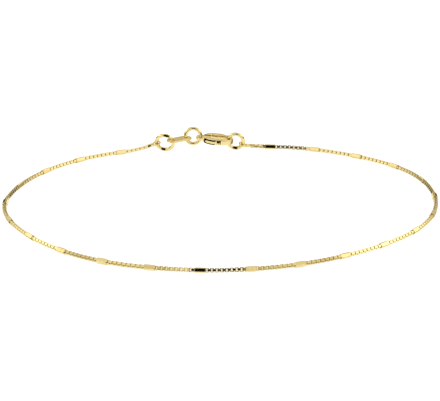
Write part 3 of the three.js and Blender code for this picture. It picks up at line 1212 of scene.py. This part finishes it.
@dataclass
class LobsterClasp:
    """The lobster clasp, in its own frame until it is placed.

    x runs from the nose of the hook to the tail eye, y from the gate to the fixed arm, and z
    through the thickness. It lies on its back, so that its gate is at the front. A taper
    names where the casting starts to thin, where it ends, and the share that is left.
    """

    rings: Rings
    thickness: float = 1.15
    rounding: float = 0.3
    rim_steps: int = 6
    inner_rim_steps: int = 4
    overcut: float = 1.002
    roll: float = math.radians(7)
    grip: float = -2.37
    nose_at: float = -2.43
    nose_radius: float = 0.87
    nose_shoulder: float = -1.7
    shoulder: float = 20
    nose_taper: tuple[float, float, float] = (-0.8, -2.8, 0.82)
    tail_taper: tuple[float, float, float] = (1.2, 1.95, 0.42)
    opening_nose: float = 0.5
    opening_right: float = 0.55
    opening_half: float = 0.62
    opening_corner: float = 0.25
    body: Point = (-0.3, 1.36)
    body_shoulder: float = 1.0
    waist: Point = (1.6, 0.6)
    eye_at: float = 2.2
    eye_radius: float = 0.78
    eye_hole: float = 0.52
    pivot: Point = (0.5, -0.93)
    pin_radius: float = 0.14
    pin_rounding: float = 0.03
    pin_play: float = 0.04
    hook_end: float = -1.5
    hook_cut: float = -0.45
    cheek_end: float = -0.37
    slot_end: float = 1.48
    slot_inner: float = -0.35
    slot_thickness: float = 0.88
    outside: float = -2
    far: float = 4
    gate_inner: float = -0.6
    gate_thickness: float = 1.0
    gate_rounding: float = 0.25
    gate_corner: float = 0.18
    nose_gap: float = 0.06
    root_gap: float = 0.13
    skin: float = 0.005
    # Painted shade at the hook's end: where it starts, how much, and which faces get it.
    painted_shade_from: float = -2.6
    nose_painted_shade: float = 0.55
    nose_facing: float = -0.55
    tongue_facing: float = 0.6
    tongue_end: float = 1.24
    tongue_lift: float = 0.04
    tongue_thickness: float = 0.4
    nub_at: tuple[float, float, float] = (-0.93, -1.3, 0.13)
    nub_size: tuple[float, float, float] = (0.6, 0.32, 0.42)
    nub_sides: int = 24
    nub_rows: int = 15
    notch_at: Point = (-0.98, -0.19)
    notch_length: float = 0.6
    notch_height: float = 0.25
    notch_floor: float = -1.1
    fine: int = 30
    medium: int = 20
    coarse: int = 12
    corner_steps: int = 8

    def placement(self) -> Matrix:
        """Where the clasp hangs, between the right and the middle ring.

        Returns:
            The matrix from the clasp's own frame to the bracelet's.
        """
        hooked = self.rings.right.wire_at(self.rings.clasp_on_right)[0]
        threaded = self.rings.middle.wire_at(self.rings.clasp_on_middle)[0]
        turned_over = Matrix.Rotation(math.pi - self.roll, 4, "X")
        to_grip = Matrix.Translation((-self.grip, 0, 0))
        return level_placement(hooked, threaded, 0) @ turned_over @ to_grip

    def outline(self) -> list[Point]:
        """The clasp's outer outline.

        Returns:
            The outline's points.
        """
        half = self.body[1]
        start, end = 90 + self.shoulder, 270 - self.shoulder
        nose = arc((self.nose_at, 0), self.nose_radius, start, end, self.fine)
        tail = ((self.eye_at, self.eye_radius), self.waist, (self.body_shoulder, half), self.body)
        side = bowed(tail, self.medium) + [self.body]
        side += bowed((self.body, (self.nose_shoulder, half), nose[0]), self.medium)
        eye = arc((self.eye_at, 0), self.eye_radius, -90, 90, self.fine)
        return eye + side + nose + mirrored(side)

    def opening(self) -> list[Point]:
        """The space inside the hook, from its nose to the body.

        Returns:
            The outline's points.
        """
        radius = self.opening_corner
        right, up = self.opening_right - radius, self.opening_half - radius
        ends = ((right, self.opening_half), (self.nose_at, self.opening_nose))
        side = bowed(ends, self.coarse)
        opening = arc((self.nose_at, 0), self.opening_nose, 90, 270) + mirrored(side)
        opening += arc((right, -up), radius, -90, 0, self.corner_steps)
        return opening + arc((right, up), radius, 0, 90, self.corner_steps) + side

    def thinned(self, mesh: Mesh) -> Mesh:
        """Thins the casting towards its nose and its tail, in a smooth sweep.

        Args:
            mesh: The casting's mesh, which is changed.

        Returns:
            The same mesh.
        """
        for vertex in mesh.vertices:
            for thick, thin, share in (self.nose_taper, self.tail_taper):
                past = min(1.0, max(0.0, (vertex.co.x - thick) / (thin - thick)))
                eased = past * past * (3 - 2 * past)
                vertex.co.z *= 1 - (1 - share) * eased
        return mesh

    def frame_mesh(self) -> Mesh:
        """Hook, body with the pivot pin, and tail eye, cast in one piece.

        Returns:
            The casting's mesh.
        """
        outline = [self.outline()]
        casting = flat_plate(
            "clasp_casting", outline, self.thickness, self.rounding, self.rim_steps
        )
        far = self.far
        around = [(-far, -far), (far, -far), (far, far), (-far, far)]
        loops = [around, self.opening(), circle((self.eye_at, 0), self.eye_hole)]
        depth = self.thickness * self.overcut
        pierced = flat_plate("pierced_plate", loops, depth, self.rounding, self.inner_rim_steps)
        low = (self.hook_end, self.outside, -self.thickness)
        high = (self.cheek_end, self.hook_cut, self.thickness)
        pin = round_pin(
            "pivot_pin", self.pivot, self.pin_radius, self.thickness, self.pin_rounding
        )
        slot_half = self.slot_thickness / 2
        slot = arc((self.slot_end - slot_half, 0), slot_half, -90, 90)
        slot += [(self.hook_end, slot_half), (self.hook_end, -slot_half)]
        steps = [
            (Cut.COMMON, pierced),
            (Cut.AWAY, block("gate_space", low, high)),
            (Cut.AWAY, standing_plate("tongue_slot", slot, self.outside, self.slot_inner)),
            (Cut.TOGETHER, pin),
        ]
        # Shade is painted into the slot and onto the hook's end.
        return with_painted_shade(worked(self.thinned(casting), steps), self.frame_painted_shade)

    def frame_painted_shade(self, middle: Vector, normal: Vector) -> float:
        """How much shade is painted on the casting: fully in its slot, a little at the hook's end.

        Args:
            middle: A face's middle.
            normal: The face's normal.

        Returns:
            The share of painted shade, 0 to 1.
        """
        along = self.cheek_end < middle.x < self.slot_end + self.skin
        deep = middle.y < self.slot_inner + self.skin
        if along and deep and abs(middle.z) < self.slot_thickness / 2 + self.skin:
            return 1.0
        at_nose = middle.x < self.painted_shade_from and normal.x < self.nose_facing
        return self.nose_painted_shade if at_nose else 0.0

    def lever_painted_shade(self, middle: Vector, normal: Vector) -> float:
        """How much shade is painted on the lever: fully in the slot, and in the notch over its nub.

        Args:
            middle: A face's middle.
            normal: The face's normal.

        Returns:
            The share of painted shade, 0 to 1.
        """
        facing = max(abs(normal.z), normal.x)
        on_tongue = middle.x > self.cheek_end and facing > self.tongue_facing
        at, height = self.notch_at
        in_notch = abs(middle.x - at) < self.notch_length / 2 + self.skin
        in_notch &= abs(middle.z - height) < self.notch_height / 2 + self.skin
        return float(on_tongue or (in_notch and middle.y < self.notch_floor + self.skin))

    def lever_face(self) -> list[Point]:
        """The lever from the front: the thick gate, and the thin tongue between the cheeks.

        Returns:
            The outline's points, in x and z.
        """
        nose = self.hook_end + self.nose_gap + self.gate_corner
        root = self.cheek_end - self.root_gap
        half, tongue = self.gate_thickness / 2, self.tongue_thickness / 2
        lift = self.tongue_lift
        flank = half - self.gate_corner
        face = arc((nose, flank), self.gate_corner, 90, 180, self.corner_steps)
        face += arc((nose, -flank), self.gate_corner, 180, 270, self.corner_steps)
        face += [(root, -half), (root, lift - tongue)]
        face += arc((self.tongue_end - tongue, lift), tongue, -90, 90)
        return face + [(root, lift + tongue), (root, half)]

    def nub_mesh(self) -> Mesh:
        """The ridge for the thumb, a stretched ball.

        Returns:
            The nub's mesh.
        """
        length, depth, height = self.nub_size
        nub = bmesh.new()
        steps = {"u_segments": self.nub_sides, "v_segments": self.nub_rows}
        bmesh.ops.create_uvsphere(nub, radius=depth / 2, **steps)
        for vertex in nub.verts:
            vertex.co.z += math.copysign((length - depth) / 2, vertex.co.z)
        bmesh.ops.transform(nub, matrix=Matrix.Rotation(math.pi / 2, 4, "Y"), verts=nub.verts)
        bmesh.ops.scale(nub, vec=(1, 1, height / depth), verts=nub.verts)
        bmesh.ops.translate(nub, vec=self.nub_at, verts=nub.verts)
        return mesh_of(nub, "thumb_nub")

    def lever_mesh(self) -> Mesh:
        """The sprung lever, which follows the clasp's outline.

        Returns:
            The lever's mesh.
        """
        thickness, rounding = self.gate_thickness, self.gate_rounding
        outline = [self.outline()]
        blank = flat_plate("clasp_gate", outline, thickness, rounding, self.inner_rim_steps)
        face = standing_plate("lever_face", self.lever_face(), self.outside, self.gate_inner)
        hole = round_pin("pin_hole", self.pivot, self.pin_radius + self.pin_play, self.thickness)
        at, height = self.notch_at
        radius = self.notch_height / 2
        flat = (self.notch_length - self.notch_height) / 2
        oblong = arc((at + flat, height), radius, -90, 90)
        oblong += arc((at - flat, height), radius, 90, 270)
        notch = standing_plate("notch", oblong, self.outside, self.notch_floor)
        steps = [
            (Cut.COMMON, face),
            (Cut.TOGETHER, self.nub_mesh()),
            (Cut.AWAY, hole),
            (Cut.AWAY, notch),
        ]
        # Shade is painted on the tongue in the slot and in the notch.
        return with_painted_shade(worked(blank, steps), self.lever_painted_shade)

    def dress(self, finish: YellowGold) -> None:
        """Makes the casting and the lever, and puts their finish on them.

        Args:
            finish: The finish.
        """
        place = self.placement()
        casting, lever = self.frame_mesh(), self.lever_mesh()
        casting.transform(place)
        lever.transform(place)
        show(casting, "clasp_casting", finish, Slot.CLASP, replaced=["clasp_frame"])
        show(lever, "clasp_gate", finish, Slot.CLASP, body=LEVER_BODY, replaced=["clasp_lever"])
        length = self.eye_at + self.eye_radius - self.nose_at + self.nose_radius
        log.info("lobster clasp, %.1f mm long", length)


# ---- studio -------------------------------------------------------------------------


@dataclass(frozen=True)
class DarkCard:
    """A dark shape that stands by the camera, and that only gloss shows.

    Its middle is aside millimetres right of the camera. Its foot and its top are given as
    elevations from the object, in degrees.
    """

    name: str
    aside: float
    width: float
    foot: float
    top: float


@dataclass
class Studio:
    """A white table and white room, with dark cards by the camera.

    The lights are rows of the sine of a direction's elevation and the room's light there.
    The room is brighter by side_share at its two sides than by end_share in line with the
    camera, and dimmer by back_share behind the object.
    """

    elevation: float = 21.62
    distance: float = 403.2
    focal_mm: float = 209.9
    sensor_mm: float = 36.0
    aim: Vector = field(default_factory=lambda: Vector((-0.11, 1.32, 0.44)))
    near: float = 20.16
    floor_size: float = 4000
    floor_colour: str = "#a8a8a8"
    floor_glow: float = 0.85
    card_colour: str = "#060505"
    card_distance: float = 430
    cards: tuple[DarkCard, ...] = (
        DarkCard("camera_shadow", 15, 152, 1, 55),
        DarkCard("stand_shadow", -147, 166, 1, 27),
    )
    lights: tuple[Point, ...] = (
        (0.001, 0.05), (0.1, 0.08), (0.22, 0.3), (0.38, 0.62),
        (0.48, 0.92), (0.58, 0.86), (0.78, 0.4), (0.999, 0.7),
    )
    end_share: float = 1.47
    side_share: float = 2.6
    back_share: float = 0.74
    back_at: float = 0.8
    horizon_warmth: float = 0.12
    light_colour: str = "#fffdf8"

    def direction(self, elevation: float) -> Vector:
        """The direction from the object to the camera's side, at an elevation in degrees."""
        angle = math.radians(elevation)
        return Vector((0, -math.cos(angle), math.sin(angle)))

    def camera(self) -> None:
        """Sets up the camera."""
        data = bpy.data.cameras.new("camera")
        data.lens = self.focal_mm
        data.sensor_width = self.sensor_mm
        camera = held(data, "camera")
        back = self.direction(self.elevation)
        camera.location = (self.aim + back * self.distance) * MM
        camera.rotation_mode = "QUATERNION"
        camera.rotation_quaternion = (-back).to_track_quat("-Z", "Y")
        data.clip_start = self.near * MM
        data.clip_end = 2 * self.floor_size * MM
        bpy.context.scene.camera = camera

    def sheet(self, paper: MattPaper, width: float, height: float) -> bpy.types.Object:
        """A flat sheet of the studio, in the xy plane round the origin, in metres.

        Args:
            paper: Its surface.
            width: Its size along x, in millimetres.
            height: Its size along y, in millimetres.

        Returns:
            The sheet.
        """
        bm = bmesh.new()
        bmesh.ops.create_grid(bm, x_segments=1, y_segments=1, size=0.5)
        bmesh.ops.scale(bm, vec=(width * MM, height * MM, 1), verts=bm.verts)
        sheet = held(mesh_of(bm, paper.name), paper.name)
        sheet.data.materials.append(paper.material())
        return sheet

    def floor(self) -> None:
        """Lays the pale table, a pane that is lit from below as well."""
        pane = MattPaper("table_top", self.floor_colour, self.floor_glow)
        self.sheet(pane, self.floor_size, self.floor_size)

    def card(self, card: DarkCard) -> None:
        """Stands up one dark card, facing the object.

        Args:
            card: The card.
        """
        height = 2 * self.card_distance * math.tan(math.radians(card.top - card.foot) / 2)
        shape = self.sheet(MattPaper(card.name, self.card_colour), card.width, height)
        back = self.direction((card.foot + card.top) / 2)
        turn = (-back).to_track_quat("Z", "Y").to_matrix().to_4x4()
        place = back * self.card_distance + Vector((card.aside, 0, 0))
        shape.data.transform(Matrix.Translation(place * MM) @ turn)
        shape.visible_camera = False
        shape.visible_diffuse = False
        shape.visible_shadow = False

    def light(self) -> None:
        """Lights the room: brighter overhead, dimmer round the horizon."""
        world = bpy.data.worlds.new("white_room")
        bpy.context.scene.world = world
        world.use_nodes = True
        tree = world.node_tree
        tree.nodes.clear()
        place = add_node(tree, "TexCoord", {}, {}).outputs["Generated"]
        axes = add_node(tree, "SeparateXYZ", {}, {"Vector": place}).outputs
        height = add_node(tree, "ValToRGB", {}, {"Fac": axes["Z"]})
        ramp = height.color_ramp
        ramp.interpolation = "EASE"
        red, green, blue, _ = linear(self.light_colour)
        for at, light in self.lights:
            stop = ramp.elements.new(at)
            warmth = self.horizon_warmth * (1 - light)
            greens, blues = light * (1 - warmth / 2), light * (1 - warmth)
            stop.color = (red * light, green * greens, blue * blues, 1)
        for spare in (ramp.elements[-1], ramp.elements[0]):
            ramp.elements.remove(spare)
        aside = add_node(tree, "Math", {"operation": "ABSOLUTE"}, {0: axes["X"]}).outputs[0]
        sides = remapped(tree, aside, (0.0, 1.0), (self.end_share, self.side_share))
        backwards = remapped(tree, axes["Y"], (0.0, self.back_at), (1.0, self.back_share))
        factors = {0: sides, 1: backwards}
        strength = add_node(tree, "Math", {"operation": "MULTIPLY"}, factors).outputs[0]
        links = {"Color": height.outputs["Color"], "Strength": strength}
        glow = add_node(tree, "Background", {}, links).outputs["Background"]
        add_node(tree, "OutputWorld", {}, {"Surface": glow})
        bpy.context.scene.view_settings.view_transform = "Standard"

    def build(self) -> None:
        """Sets up the whole studio."""
        self.camera()
        self.floor()
        for card in self.cards:
            self.card(card)
        self.light()
        log.info("studio, camera %.2f degrees above the table", self.elevation)


def main() -> None:
    """Builds the bracelet piece by piece, then its studio."""
    logging.basicConfig(level=logging.INFO, format="%(name)s: %(message)s")
    chain_gold = YellowGold("drawn_yellow_gold")
    ring_gold = YellowGold("buffed_yellow_gold", roughness=0.04, waviness_mm=0.8)
    rings = Rings()
    bar = Bar()
    rings.dress(ring_gold)
    BoxChain(Route(rings, bar), bar).dress(chain_gold)
    Tag(rings).dress(YellowGold("satin_yellow_gold", roughness=0.5))
    LobsterClasp(rings).dress(ring_gold)
    Studio().build()


if __name__ == "__main__":
    main()
